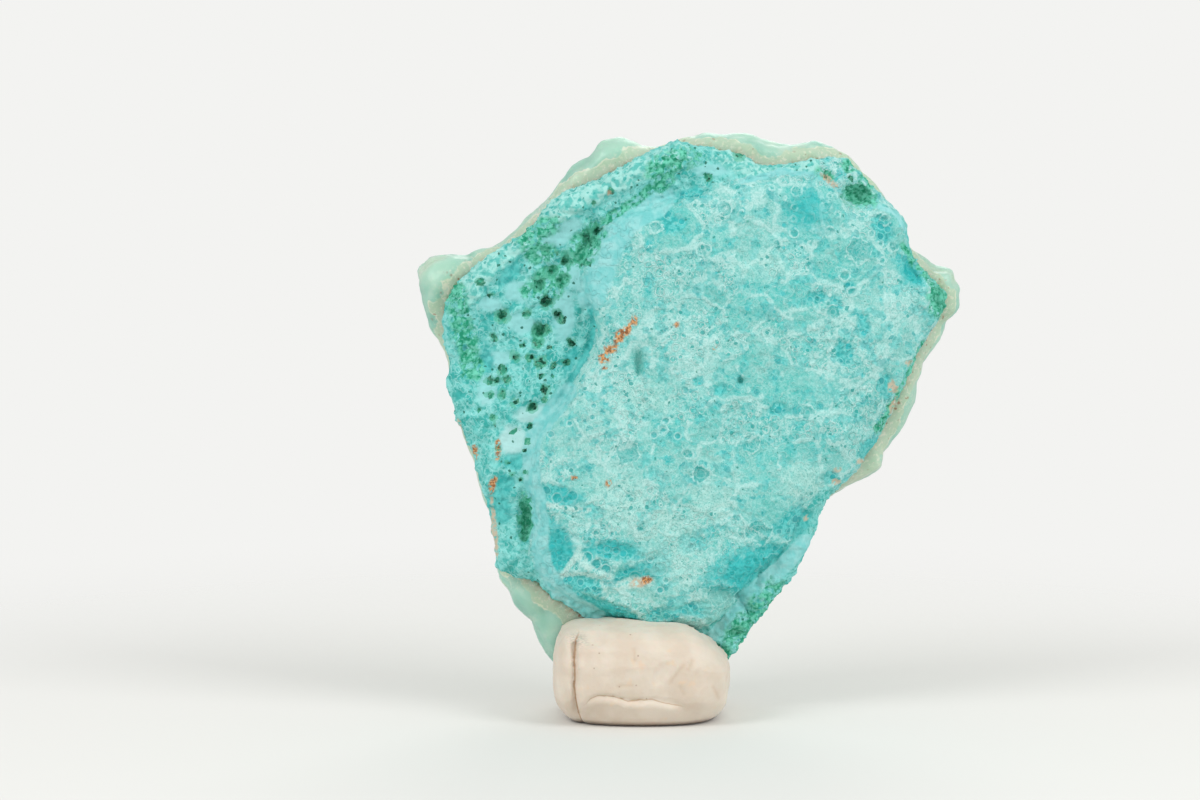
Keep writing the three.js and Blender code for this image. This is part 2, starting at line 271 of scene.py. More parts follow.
def inside(places, outline):
    """True for the points inside an outline of [x, z] places."""
    crossings = np.zeros(len(places), dtype=int)
    for (x, z), (last_x, last_z) in zip(outline, outline[-1:] + outline[:-1]):
        if z == last_z:
            continue
        spans = (places[:, 2] < z) != (places[:, 2] < last_z)
        at_x = x + (places[:, 2] - z) * (last_x - x) / (last_z - z)
        crossings += spans & (places[:, 0] < at_x)
    return crossings % 2 == 1


def patches(places, ragged, spots, fade=0.25):
    """1 inside any of the ellipses [x, z, half width, half height, turn], with ragged edges."""
    share = np.zeros(len(places))
    for x, z, half_width, half_height, turn in spots:
        reach = ellipse_share(places, x, z, half_width, half_height, turn) + ragged
        share = np.maximum(share, 1 - soft_step(reach, 1 - fade, 1 + fade))
    return share


def strokes(places, ragged, lines, fade=0.25):
    """1 along any of the lines [half width, places], with ragged edges."""
    share = np.zeros(len(places))
    for half_width, line in lines:
        reach = line_distance(places, line) / half_width + ragged
        share = np.maximum(share, 1 - soft_step(reach, 1 - fade, 1 + fade))
    return share


STONE_STEP = 0.67 * MM
STONE_GRAIN = 0.18 * MM
EDGE_SPREAD = 0.9
FACET = 0.75
# Heights and depths of the relief.
PIT_DEPTH = 0.3
DEPTH_BY_RADIUS = 0.6
CAVITY_DEPTH = 0.45
RING_HEIGHT = 0.1
RING_HOLLOW = 0.12
CELL_HOLLOW = 0.25
LUMPS = 0.3
CRUMBS = 0.13
CELL_WALLS = 0.2
SMALL_WALLS = 0.14
LOW_WALLS = 0.12
MALACHITE_DEPTH = 0.25
TEAL_DEPTH = 0.3
LIP_HEIGHT = 0.35
LOW_ROUGHNESS = 0.4
# Added to a distance from a line before it is kept, because a share can't be below 0.
ON_LINE = 2.0
PLATE_EDGE = [
    [-10, 78], [-8, 82.5], [-5.5, 85.5], [-1, 87.5], [3, 88.5], [10, 91], [16, 92], [22.5, 93],
    [29.5, 93], [33.5, 90.5], [36, 87.5], [38.5, 87], [41, 85.5], [42.5, 82], [43.5, 77.5],
    [46, 73], [47.5, 69], [45, 63.5], [42.5, 58.5], [40, 53], [36.5, 47], [31, 40.5], [27, 35],
    [24, 29.5], [19.5, 25.5], [15.5, 20.5], [11, 16], [7, 15], [-0.5, 16], [-7, 18], [-13, 20.5],
    [-16.5, 23], [-19.5, 28.5], [-18.5, 32.5], [-18.5, 37], [-19.5, 40.5], [-18.5, 47],
    [-16.5, 51], [-13, 54.5], [-11.5, 58.5], [-9, 62], [-7.5, 66.5], [-8.5, 70], [-10.5, 74.5],
]
# Open pits, [x, z, radius].
PITS = [
    [-16.5, 80.2, 0.6], [-14.5, 79.7, 0.4], [-12.9, 78.5, 0.9], [-15.5, 76.5, 0.8],
    [-13.4, 75.1, 0.9], [-17.7, 74.3, 0.8], [-14.1, 74.3, 0.5], [-16.2, 71.4, 0.9],
    [-19.6, 69.4, 0.6], [-23.8, 68.9, 1.0], [-14.5, 69.4, 0.6], [-13.6, 68.3, 0.6],
    [-16.5, 66.6, 0.8], [-17.7, 66.0, 0.8], [-12.1, 64.4, 0.6], [-17.7, 64.3, 0.7],
    [-15.8, 63.4, 0.3], [-20.2, 63.9, 0.5], [-25.0, 65.3, 0.6], [-21.6, 61.9, 0.7],
    [-19.0, 61.7, 0.6], [-17.3, 60.9, 0.8], [-15.0, 60.4, 0.5], [-12.8, 61.0, 0.5],
    [-23.8, 59.7, 0.6], [-17.2, 58.7, 0.5], [-15.0, 58.7, 0.4], [-25.8, 57.8, 0.6],
    [-24.7, 57.8, 0.5], [-23.1, 58.0, 0.6], [-16.5, 56.3, 0.7], [-25.8, 55.4, 0.6],
    [-23.8, 55.6, 0.6], [-16.5, 54.7, 0.5], [-21.6, 54.1, 0.6], [-18.7, 53.4, 0.7],
    [-27.5, 53.0, 0.4], [-25.3, 51.7, 0.5], [-18.9, 50.3, 0.5], [-21.8, 49.3, 0.4],
    [-25.0, 50.2, 0.4], [-21.6, 48.1, 0.3], [-19.4, 47.6, 0.4], [-20.1, 45.9, 0.3],
    [-24.5, 46.4, 0.3], [-22.8, 43.9, 0.4], [-22.1, 42.0, 0.4], [-19.7, 42.2, 0.4],
    [-20.6, 41.1, 0.4], [-7.7, 83.6, 0.7], [-9.5, 82.8, 0.7], [-8.5, 81.6, 0.8],
    [-10.0, 80.2, 0.7], [-10.5, 78.9, 0.9], [-9.4, 77.9, 0.6], [-25.7, 72.6, 0.5],
    [-27.4, 74.8, 0.5], [11.1, 92.3, 0.6], [16.3, 95.7, 0.7], [31.3, 93.0, 0.6],
    [35.0, 92.3, 0.5], [-5.4, 90.1, 0.4], [-8.2, 88.2, 0.4],
]
# Round cells that stand out on the plate, [x, z, radius].
RINGS = [
    [26.0, 90.2, 0.9], [28.0, 85.5, 1.0], [30.8, 87.4, 1.0], [32.9, 86.2, 0.5], [33.2, 91.4, 0.6],
    [25.6, 87.4, 0.6], [25.4, 85.5, 0.5], [29.1, 84.2, 0.4], [25.6, 83.1, 0.8], [31.4, 83.4, 0.9],
    [31.6, 89.2, 0.5], [36.5, 80.1, 2.0], [41.0, 85.2, 0.9], [42.4, 80.8, 0.9], [40.2, 81.2, 0.6],
    [35.5, 73.2, 0.8], [34.1, 76.0, 0.9], [40.5, 78.4, 0.6], [32.2, 69.9, 1.2], [21.9, 90.7, 0.5],
    [24.0, 88.9, 0.4], [13.8, 87.2, 1.4], [16.8, 86.2, 0.7], [19.2, 32.3, 2.0], [20.1, 25.8, 1.0],
    [-2.6, 46.4, 2.2], [18.4, 47.6, 1.7], [9.9, 42.5, 1.5], [2.2, 84.2, 1.0], [12.9, 21.4, 2.3],
    [21.0, 26.7, 1.7], [36.8, 85.4, 0.7], [38.6, 82.9, 0.6], [28.6, 81.2, 0.8], [22.6, 81.4, 0.7],
    [6.4, 76.6, 0.8], [10.2, 80.4, 1.1], [3.4, 50.2, 0.8], [7.6, 46.0, 0.9], [27.9, 52.8, 1.3],
]
# Round cells filled with deep teal, [x, z, radius].
TEAL_CELLS = [
    [-9.3, 28.1, 0.9], [-7.8, 27.0, 0.9], [-6.1, 26.1, 0.9], [3.0, 26.1, 1.2], [-4.4, 29.3, 0.6],
    [-5.9, 29.6, 0.6], [-7.1, 30.0, 0.7], [-9.3, 30.4, 0.6], [4.1, 24.2, 0.5], [3.1, 22.5, 0.6],
    [-5.4, 23.4, 0.5], [-14.4, 38.2, 0.9], [-12.9, 38.0, 0.6], [-11.8, 38.7, 0.9], [-15.5, 49.1, 0.6],
    [-12.2, 51.0, 0.5], [-8.4, 52.1, 0.5], [-8.2, 54.0, 0.5], [3.9, 51.4, 0.6], [3.5, 49.7, 0.7],
    [2.0, 49.1, 0.6], [6.0, 48.9, 0.6], [-1.0, 24.8, 1.0], [0.8, 25.4, 0.8], [1.4, 27.8, 0.6],
    [-6.6, 33.4, 0.6], [-5.2, 32.2, 0.5], [-11.6, 31.6, 0.6],
]
# Where the plate is paler, and where its colour is deeper, [x, z, half width, half height, turn].
LIGHT_FIELDS = [
    [-7, 48, 6, 7, 0], [-3, 40, 6, 7, 20], [1, 34.4, 5.5, 3.4, 0], [-8, 58, 3.6, 7, 0],
    [18, 89, 4, 7, 0], [40.5, 68, 6.5, 6, 0], [9, 62, 4.4, 4, 0],
    [27, 41.5, 4.4, 3, 0], [7.5, 22, 3.0, 5.0, 0], [-2, 22.6, 4, 2, 0], [12, 41, 6, 4, 0],
]
DEEP_FIELDS = [
    [20, 75, 12, 4, 0], [26, 87, 4.2, 7, 0], [28, 49, 8, 6, 0], [16, 53, 5, 4, 0],
    [-14.3, 29.5, 2.6, 4.6, 10], [-2.5, 29.6, 7.5, 2.6, -5], [17.5, 25, 6, 3.6, 25],
    [26, 33.5, 3.4, 3, 0], [-8, 18.8, 8, 2.4, -15], [45.5, 76, 2.2, 3, 25], [2, 86.6, 4, 2, 10],
    [13, 20, 4, 3, 0],
]
# Parts of the plate whose whole colour is deep teal.
DEEP_WASHES = [
    [-14.8, 29.2, 3.0, 4.4, 10], [17.5, 26, 6.2, 3.4, 20], [0.6, 25.9, 3.2, 1.4, 0],
    [-12.7, 38.4, 2.2, 1.2, 0], [28, 86.5, 3.6, 3, 0], [-5.3, 30, 4.4, 1.2, 0], [-8, 18.4, 6, 1.6, -12],
    [45.8, 76, 1.6, 2.6, 25],
]
CAVITIES = [[36.6, 89.6, 2.6, 1.5, -25], [50.8, 71.6, 1.2, 2.4, 15], [-19.8, 34, 0.9, 3.8, 0],
            [15.8, 14.6, 0.7, 1.2, -35]]
# Dents in the plate, [x, z, half width, half height, turn, depth].
DENTS = [[-0.5, 60.8, 0.9, 2.6, 5, 0.9], [16.6, 58.3, 0.6, 0.7, 0, 0.5], [46.2, 76.6, 1.0, 2.2, 28, 0.8],
         [12.9, 21.4, 2.6, 2.0, 0, 0.5], [-8.9, 24, 3.4, 1.3, -8, 0.4], [-14, 29, 1.8, 3.4, 12, 0.5]]
RIM = [[-31, 72], [-26, 78], [-19, 83], [-14, 87], [-7, 90.5], [0, 94], [6.5, 96]]
MALACHITE = [
    [-18.2, 83.0, 3.2, 2.2, 30], [-15.6, 84.3, 2.0, 1.4, 0], [-17.6, 79.8, 2.8, 2.2, 0],
    [-9.6, 81.0, 2.4, 4.4, -30], [-15.6, 75.4, 3.8, 2.2, 25], [-18.2, 73.2, 2.6, 1.4, 0],
    [-17.4, 65.8, 1.2, 1.6, 0], [-14.4, 73.4, 1.4, 1.8, 0], [4.6, 94.6, 4.4, 2.0, 25],
    [9.4, 95.6, 1.6, 1.0, -10], [3.4, 91.6, 2.4, 1.4, 30], [30.9, 92.9, 1.8, 0.9, -20],
    [35.4, 94.2, 1.9, 1.1, 0], [38.0, 91.6, 1.4, 1.6, 0], [36.6, 89.6, 3.2, 2.0, -25],
    [50.4, 71.4, 1.9, 3.2, 15], [-19.9, 34.0, 1.3, 4.4, 0], [40.6, 50.2, 1.4, 1.0, 40],
    [21.2, 20.4, 2.6, 3.6, -35], [17.6, 14.8, 2.8, 4.6, -35], [13.4, 9.8, 2.6, 3.0, -35],
]
MALACHITE_LINES = [
    [1.9, [[-31.9, 73], [-30.6, 68], [-29.6, 63], [-28.9, 59.8]]],
    [0.8, [[-6.5, 85.2], [-2.5, 87.6], [0.5, 89.6], [3.1, 91.8]]],
    [0.6, [[44.2, 81], [47.6, 76.6], [49.6, 73.4]]],
    [0.7, [[47.6, 64], [44.8, 57.6], [41.2, 51]]],
]
DEEP_TEAL = [
    [-14.2, 29.2, 2.4, 4.2, 12], [-14.6, 38.9, 3.7, 1.7, -15], [-4.4, 29.2, 5.8, 1.5, -8],
    [-9.2, 28.4, 1.4, 1.2, 0], [-6.8, 26.6, 1.8, 1.3, -30], [-1.9, 24.9, 3.2, 1.4, 5],
    [2.2, 26.4, 2.6, 2.7, 20], [-10.2, 23.8, 4.2, 1.7, -8], [3.2, 18.2, 2.6, 1.1, 0],
    [8.2, 30.6, 2.4, 1.6, 0], [25.5, 33.7, 3.6, 2.2, 30], [18.5, 26.4, 6.4, 3.0, 28],
    [9.6, 19.2, 4.0, 1.3, 5], [14.2, 21.4, 2.2, 1.4, 30], [-16.6, 34.4, 1.2, 2.2, 0],
    [41.3, 57.1, 1.5, 2.6, 20], [35, 74, 1.0, 1.0, 0], [5.4, 84.6, 2.2, 1.4, 0],
    [2.6, 86.4, 2.0, 1.2, 0], [40.6, 83.4, 1.8, 2.6, 20], [46.0, 76.4, 1.3, 2.4, 28],
    [-8.2, 36.2, 1.8, 1.2, -10], [13.2, 56.6, 1.3, 0.9, 40], [9.4, 58.2, 1.0, 0.8, 0],
    [29.4, 72.4, 1.5, 1.2, 0], [32.6, 71, 1.2, 1.6, 0], [22.8, 53.4, 1.8, 1.2, 0], [1.4, 52.6, 1.5, 0.9, 30],
    [-12.2, 61.2, 1.0, 2.6, -20], [38.6, 46.6, 2.6, 1.3, 50], [31.8, 41.6, 1.6, 1.1, 0],
    [34.2, 63, 1.6, 2.2, 10], [37.4, 67.4, 1.4, 1.8, 0], [-24.2, 36.5, 2.2, 3.2, 0],
    [-26.6, 61.2, 1.4, 2.2, 0], [-22.4, 76.2, 2.6, 1.2, 40], [-30.6, 63, 1.0, 1.6, 0],
    [-21.4, 44.2, 2.6, 1.4, 0], [-23.6, 40.4, 2.0, 1.6, 0],
]
DEEP_TEAL_LINES = [
    [0.8, [[-0.6, 87.4], [3.6, 88.4], [9.6, 90.2]]],
    [1.6, [[-13.2, 21.8], [-10, 20.2], [-6.5, 18.6], [-2.6, 17.6]]],
    [0.5, [[-8.9, 70.5], [-8.2, 66.8], [-9.4, 62.4], [-11.8, 58.6], [-14, 54.4]]],
]
WALL = [
    [2.3, [[3.4, 89.1], [-3, 84.6], [-5.8, 80.4], [-7, 76], [-8.6, 72.6]]],
    [1.5, [[-12.4, 56.2], [-15.6, 52.2], [-18, 49.2], [-18.9, 45.1], [-18.6, 40.8], [-17.6, 36.6],
           [-17.2, 33.2], [-17.4, 29.8], [-16.6, 26], [-14.3, 22.4], [-11.4, 19.6], [-7.6, 17]]],
    [0.4, [[16.7, 91.6], [23.7, 93.3], [29.4, 92.8], [32.7, 90.7], [36.5, 88.1], [40, 87.6],
           [43, 86.2], [44.6, 83.5]]],
    [1.2, [[27.2, 30.6], [23.4, 26], [19.4, 23], [17.2, 20.6], [15.6, 18], [13, 14.9], [10, 12]]],
]
# Whitish ridges low on the plate.
RIDGES = [
    [0.5, [[-14.4, 24], [-13.1, 25.5], [-11.8, 27.4], [-10.8, 28.7]]],
    [0.6, [[-10.8, 28.7], [-9.6, 27.0], [-8.2, 25.6], [-5.4, 24.8]]],
    [0.35, [[-13.4, 25], [-10, 25.4], [-7.4, 24.4], [-6.2, 22.6]]],
    [0.9, [[-3.8, 23], [-1.4, 23.8], [1.2, 23.8]]],
    [0.4, [[-16.2, 37.2], [-12.4, 36.4], [-9, 36.2]]],
]
PALE = [
    [-14, 82.5, 2.6, 1.6, 20], [-12, 84.4, 1.8, 1.5, 0], [-21.2, 73.1, 2.2, 1.8, 0],
    [-25.8, 71, 1.8, 1.2, 0], [-13.3, 69.4, 2.0, 4.4, 0], [-18.6, 52.3, 3.0, 1.4, 10],
    [-22, 47.6, 2.2, 2.8, 0], [-20.6, 67.6, 2.4, 1.8, 0], [-11.6, 76, 1.8, 2.4, 0],
    [-24.6, 61.6, 2.2, 1.4, 0], [-26.2, 56.4, 1.6, 2.6, 0], [12, 93.7, 3.4, 1.1, 5],
]
SPECKLED = [
    [4.7, 30, 5.0, 6.5, 20], [27.3, 40.8, 3.6, 3.2, 0], [-4, 38, 5, 4, 0], [11.4, 37.4, 4, 3, 0],
    [0.6, 55.2, 4.4, 3.4, 0], [19.8, 77.6, 4.4, 3.0, 0], [12.6, 19.4, 3.4, 2.4, 0],
]
LIP = [[1.5, [[13.3, 96.4], [16.7, 94.2], [20.9, 93.0], [26.9, 94.0], [31.4, 94.6]]], [2.0, RIM]]
RUST = [
    [-1.4, 68.5, 0.5, 0.7, 0], [-2.4, 67, 0.6, 1.1, -30], [-3.9, 65.4, 0.7, 1.2, -30],
    [-5.2, 63.6, 0.9, 0.6, 20], [-6.4, 61.8, 0.8, 0.7, 0], [-6.3, 60.4, 0.3, 0.3, 0],
    [-5.8, 40.8, 0.45, 0.6, 0], [-11.4, 41.8, 0.5, 0.3, 0], [5.8, 67.7, 0.4, 0.4, 0],
    [12.2, 63.8, 0.35, 0.35, 0], [-28.4, 45.9, 0.3, 0.9, 0], [-24.5, 46.2, 0.35, 1.3, 0],
    [0.6, 24.2, 0.8, 0.5, 0], [-25.4, 40, 0.4, 1.2, -10],
]
BEIGE = [
    [42.5, 57.1, 0.8, 1.2, 20], [45.4, 61.1, 0.8, 0.5, 0], [37.1, 44.2, 0.7, 0.4, 0],
    [33.3, 43, 0.7, 0.5, 0], [33, 40.8, 0.7, 0.5, 0], [27.7, 34.5, 0.6, 0.5, 0],
    [43, 53.6, 0.5, 1.7, -20], [31.6, 91.8, 2.2, 0.5, -38],
    [-0.3, 23.8, 2.0, 0.7, 15], [-29.8, 46, 0.4, 4.8, 15], [-25, 32, 0.4, 5.0, 8],
    [-5.6, 89.9, 0.5, 0.6, 0],
]

stone = even_copy("chrysocolla", "chrysocolla_stone", STONE_STEP, smoothing=5)
split_faces(stone, facing=0.25)
soft = stone.modifiers.new("soft", "SMOOTH")
soft.iterations = 2
bpy.ops.object.modifier_apply(modifier="soft")
places, normals = points_of(stone)
ragged = 0.3 * waver(places, 1.4) + 0.18 * waver(places, 0.5, 2, 7.0)
front = soft_step(-normals[:, 1], -0.3, 0.2)
# At the upper right the plate reaches the rock's edge.
reaches_right = (places[:, 0] > 30) & (places[:, 2] > 40)
on_plate = (inside(places, PLATE_EDGE) | reaches_right) & (normals[:, 1] < 0.2)
recess = np.where(on_plate, 0, front)
malachite = np.maximum(patches(places, ragged, MALACHITE), strokes(places, ragged, MALACHITE_LINES))
deep_teal = np.maximum(patches(places, ragged, DEEP_TEAL), strokes(places, ragged, DEEP_TEAL_LINES))
wall = strokes(places, 0.4 * ragged, WALL, 0.14)
pale = patches(places, 0.7 * ragged, PALE)
lip = strokes(places, ragged, LIP)

# Pits with walls of flat facets, cavities, rings and deep cells.
_, facet_middles = cell_fields(places, FACET)
facet_depth = 0.68 + 0.32 * np.sin(31 * facet_middles.sum(axis=1))
pit_share = np.zeros(len(places))
pit_depth = np.zeros(len(places))
halo = np.zeros(len(places))
for x, z, radius in PITS:
    round_reach = ellipse_share(places, x, z, radius, radius)
    reach = 0.3 * round_reach + 0.7 * ellipse_share(facet_middles, x, z, radius, radius)
    pit_share = np.maximum(pit_share, 1 - soft_step(reach, 0.8, 1.3))
    depth = (PIT_DEPTH + DEPTH_BY_RADIUS * radius) * (1 - soft_step(reach, 0.8, 1.15))
    pit_depth = np.maximum(pit_depth, depth)
    halo = np.maximum(halo, (1 - soft_step(round_reach, 1.0, 2.3)) * min(1, radius / 0.7))
pit_depth *= facet_depth
for x, z, half_width, half_height, turn in CAVITIES:
    reach = ellipse_share(places, x, z, half_width, half_height, turn) + 0.6 * ragged
    pit_share = np.maximum(pit_share, 1 - soft_step(reach, 0.8, 1.2))
    pit_depth = np.maximum(pit_depth, CAVITY_DEPTH * (1 - soft_step(reach, 0.75, 1.15)))
out_of_ring = np.full(len(places), 2.0)
ring_rise = np.zeros(len(places))
for x, z, radius in RINGS:
    reach = ellipse_share(places, x, z, radius, radius) * (1 + ragged)
    out_of_ring = np.minimum(out_of_ring, (reach - 1) * radius)
    ring_rise += RING_HEIGHT * np.exp(-((reach - 1) * radius / 0.35) ** 2)
    ring_rise -= RING_HOLLOW * min(radius, 1.4) * (1 - soft_step(reach, 0.2, 0.95))
out_of_cell = np.full(len(places), 2.0)
for x, z, radius in TEAL_CELLS:
    reach = ellipse_share(places, x, z, radius, radius) * (1 + 0.4 * ragged)
    out_of_cell = np.minimum(out_of_cell, (reach - 1) * radius)
    ring_rise -= CELL_HOLLOW * (1 - soft_step(reach, 0.6, 1.0))

# Lumps and crumbs all over, cell walls on the plate and rougher stone beside it.
lumps = waver(places, 5.0, 4)
crumbs = waver(places, 0.9, 3, 3.0)
walls, _ = cell_fields(places + 0.5 * ragged[:, None], 2.1)
small_walls, _ = cell_fields(places + 0.3 * ragged[:, None], 1.1)
busy = soft_step(waver(places, 6.0, 2, 21.0), -0.15, 0.25)
rise = (LUMPS * lumps + CRUMBS * crumbs) * (1 - 0.6 * wall)
for x, z, half_width, half_height, turn, depth in DENTS:
    reach = ellipse_share(places, x, z, half_width, half_height, turn) + 0.3 * ragged
    rise -= depth * (1 - soft_step(reach, 0.3, 1.1))
plate_walls = busy * (CELL_WALLS * walls + SMALL_WALLS * small_walls)
rise += np.where(on_plate, plate_walls, LOW_WALLS * walls) * (1 - 0.8 * wall)
rise += np.where(on_plate, 0, SMALL_WALLS * small_walls * lip)
rise += np.where(on_plate, ring_rise, 0)
rise += malachite * (MALACHITE_DEPTH * crumbs - MALACHITE_DEPTH)
rise -= TEAL_DEPTH * deep_teal
rise += LIP_HEIGHT * lip * (0.4 + waver(places * (0.4, 1, 1.6), 1.1, 2, 5.0))
rise += recess * (1 - pale) * (LOW_ROUGHNESS * waver(places, 1.8, 3, 11.0) + 0.12)
moved = places + normals * (front * rise)[:, None]
moved[:, 1] += front * pit_depth
# Low at the right the rock's edge stands further out than the solid's.
lower_right = soft_step(places[:, 0], 4, 9) * (1 - soft_step(places[:, 2], 30, 37))
moved[:, 0] += EDGE_SPREAD * lower_right * soft_step(normals[:, 0], -0.2, 0.4)
move_points(stone, moved)
keep_shares(
    stone, plate=on_plate.astype(float), malachite=malachite, deep_teal=deep_teal, wall=wall,
    pale=pale * recess, lip=lip, pit=front * pit_share, halo=recess * halo,
    ring=ON_LINE + np.where(on_plate, out_of_ring, 2),
    teal_cell=ON_LINE + np.where(on_plate, out_of_cell, 2),
    ridge=strokes(places, 0.8 * ragged, RIDGES),
    speckled=patches(places, ragged, SPECKLED),
    light_field=patches(places, 1.4 * ragged, LIGHT_FIELDS, 0.9),
    deep_field=patches(places, 1.4 * ragged, DEEP_FIELDS, 0.9),
    deep_wash=patches(places, 1.2 * ragged, DEEP_WASHES, 0.6),
    rust=patches(places, 1.8 * ragged - 0.25, RUST),
    beige=patches(places, 1.2 * ragged, BEIGE))
select_only(stone)
bpy.ops.object.shade_smooth()


def blend(tree, share, first, second):
    """The first colour where share is 0, and the second where it is 1."""
    made = add_node(tree, "ShaderNodeMix", {0: share, 6: first, 7: second}, data_type="RGBA")
    return made.outputs[2]


def layered(tree, base, *layers):
    """A colour with others laid over it in turn, each given with the share that it covers."""
    for share, tone in layers:
        base = blend(tree, share, base, tone)
    return base


def share_of(tree, name):
    return add_node(tree, "ShaderNodeAttribute", attribute_name=name).outputs["Fac"]


def scaled(tree, vector, scale):
    return add_node(tree, "ShaderNodeVectorMath", {0: vector, "Scale": scale}, operation="SCALE").outputs[0]


def cloud(tree, vector, size, detail=2.0, output="Fac"):
    """Noise with lumps of that size in millimetres."""
    inputs = {"Vector": vector, "Scale": 1 / size, "Detail": detail}
    return add_node(tree, "ShaderNodeTexNoise", inputs).outputs[output]


def mottle(tree, vector, size, detail, low, high):
    """Mottling by noise: 0 where it is below low and 1 where it is above high."""
    return rise_between(tree, cloud(tree, vector, size, detail), low, high)


def cells(tree, vector, size, feature="F1", output="Distance"):
    """Cells of that size in millimetres."""
    inputs = {"Vector": vector, "Scale": 1 / size}
    return add_node(tree, "ShaderNodeTexVoronoi", inputs, feature=feature).outputs[output]


def warped(tree, vector, size, amount):
    """The places pushed about by noise, so that a pattern on them isn't regular."""
    push = cloud(tree, vector, size, 3, "Color")
    centred = add_node(tree, "ShaderNodeVectorMath", {0: push, 1: (0.5, 0.5, 0.5)}, operation="SUBTRACT")
    return add_node(
        tree, "ShaderNodeVectorMath",
        {0: vector, 1: scaled(tree, centred.outputs[0], amount)}, operation="ADD",
    ).outputs[0]


def times(tree, *shares):
    """The product of several shares."""
    product = shares[0]
    for share in shares[1:]:
        product = math_node(tree, "MULTIPLY", product, share)
    return product


def plus(tree, first, second):
    return math_node(tree, "ADD", first, second)


def minus(tree, first, second):
    return math_node(tree, "SUBTRACT", first, second)


def away_from(tree, value, middle):
    """How far a value is from a middle value, on either side."""
    return math_node(tree, "ABSOLUTE", minus(tree, value, middle))


def rest_of(tree, share):
    """What a share leaves of the whole."""
    return minus(tree, 1.0, share)


def part_of(tree, colours, index=0):
    return add_node(tree, "ShaderNodeSeparateColor", {0: colours}).outputs[index]


def new_material(piece, name):
    """Gives a piece a new material: its node tree, its shader, and the places in millimetres."""
    material = bpy.data.materials.new(name)
    material.use_nodes = True
    piece.data.materials.append(material)
    tree = material.node_tree
    place = scaled(tree, add_node(tree, "ShaderNodeTexCoord").outputs["Object"], 1 / MM)
    return tree, tree.nodes["Principled BSDF"], place


def add_bump(tree, surface, relief, height, strength=1.0):
    """Lets light fall on a surface as if the relief stood out by that height."""
    inputs = {"Height": relief, "Distance": height, "Strength": strength}
    bump = add_node(tree, "ShaderNodeBump", inputs)
    tree.links.new(bump.outputs[0], surface.inputs["Normal"])


tree, surface, place = new_material(stone, "chrysocolla")
loose = warped(tree, place, 2.6, 2.2)
plate = share_of(tree, "plate")
deep_teal_share = share_of(tree, "deep_teal")
malachite_share = share_of(tree, "malachite")
ring = share_of(tree, "ring")


# The plate: clouds of paler and greener stone under pale lines. The lines are the walls of cells
# and round bubbles in several sizes, rings that lie inside each other, and a fine crackle.
def bubbles(tree, vector, size, low, high):
    """Round cells of that size: their walls, their insides, and a random share for each."""
    near = cells(tree, vector, size)
    random = cells(tree, vector, size, output="Color")
    radius = add_node(
        tree, "ShaderNodeMapRange", {"Value": part_of(tree, random), "To Min": low, "To Max": high})
    out = minus(tree, near, radius.outputs[0])
    wall_line = rise_between(tree, math_node(tree, "ABSOLUTE", out), 0.085, 0.02)
    return wall_line, rise_between(tree, out, 0.02, -0.03), part_of(tree, random, 1)


def walled_cells(tree, vector, size, width):
    """Cells that touch: the lines of that width between them, and a random share for each."""
    gap = cells(tree, vector, size, "DISTANCE_TO_EDGE")
    line = rise_between(tree, gap, width / size, 0.3 * width / size)
    return line, part_of(tree, cells(tree, vector, size, output="Color"))


def contours(tree, vector, size, detail, width):
    """Winding lines where noise of that size crosses its middle value."""
    return rise_between(tree, away_from(tree, cloud(tree, vector, size, detail), 0.5), width, 0.3 * width)


def strongest(tree, *weighted):
    """The strongest of several patterns, each given with its weight."""
    result = 0.0
    for pattern, weight in weighted:
        result = math_node(tree, "MAXIMUM", times(tree, pattern, weight), result)
    return result


curled = warped(tree, warped(tree, place, 4.4, 3.4), 0.8, 0.5)
wide_line, wide_random = walled_cells(tree, curled, 7.0, 0.6)
beside_line, _ = walled_cells(tree, curled, 7.0, 2.8)
middle_line, middle_random = walled_cells(tree, curled, 2.3, 0.24)
teal_wall, teal_disc, teal_random = bubbles(tree, warped(tree, place, 1.3, 0.5), 1.45, 0.3, 0.52)
large_wall, large_inside, large_tint = bubbles(tree, warped(tree, place, 2.0, 0.9), 2.7, 0.28, 0.5)
bubble_wall, bubble_inside, bubble_tint = bubbles(tree, warped(tree, place, 1.6, 0.8), 1.5, 0.22, 0.5)
small_wall, small_inside, small_tint = bubbles(tree, warped(tree, place, 1.0, 0.5), 0.85, 0.22, 0.5)
light_field = share_of(tree, "light_field")
busy = mottle(tree, place, 5.5, 3, 0.38, 0.5)
busy_fine = mottle(tree, scaled(tree, place, 1.37), 4.5, 3, 0.42, 0.54)
ringed = mottle(tree, scaled(tree, place, 0.83), 5.0, 2, 0.48, 0.6)
calm = rise_between(tree, wide_random, 0.5, 0.54)
lively = rest_of(tree, times(tree, calm, 0.5))
wide_ridge = times(tree, wide_line, mottle(tree, place, 3.0, 2, 0.38, 0.5))
veil_start = minus(tree, 0.48, times(tree, light_field, 0.07))
veil = mottle(tree, scaled(tree, loose, 1.3), 1.9, 6, veil_start, 0.66)
frost = mottle(tree, loose, 0.6, 4, 0.5, 0.66)
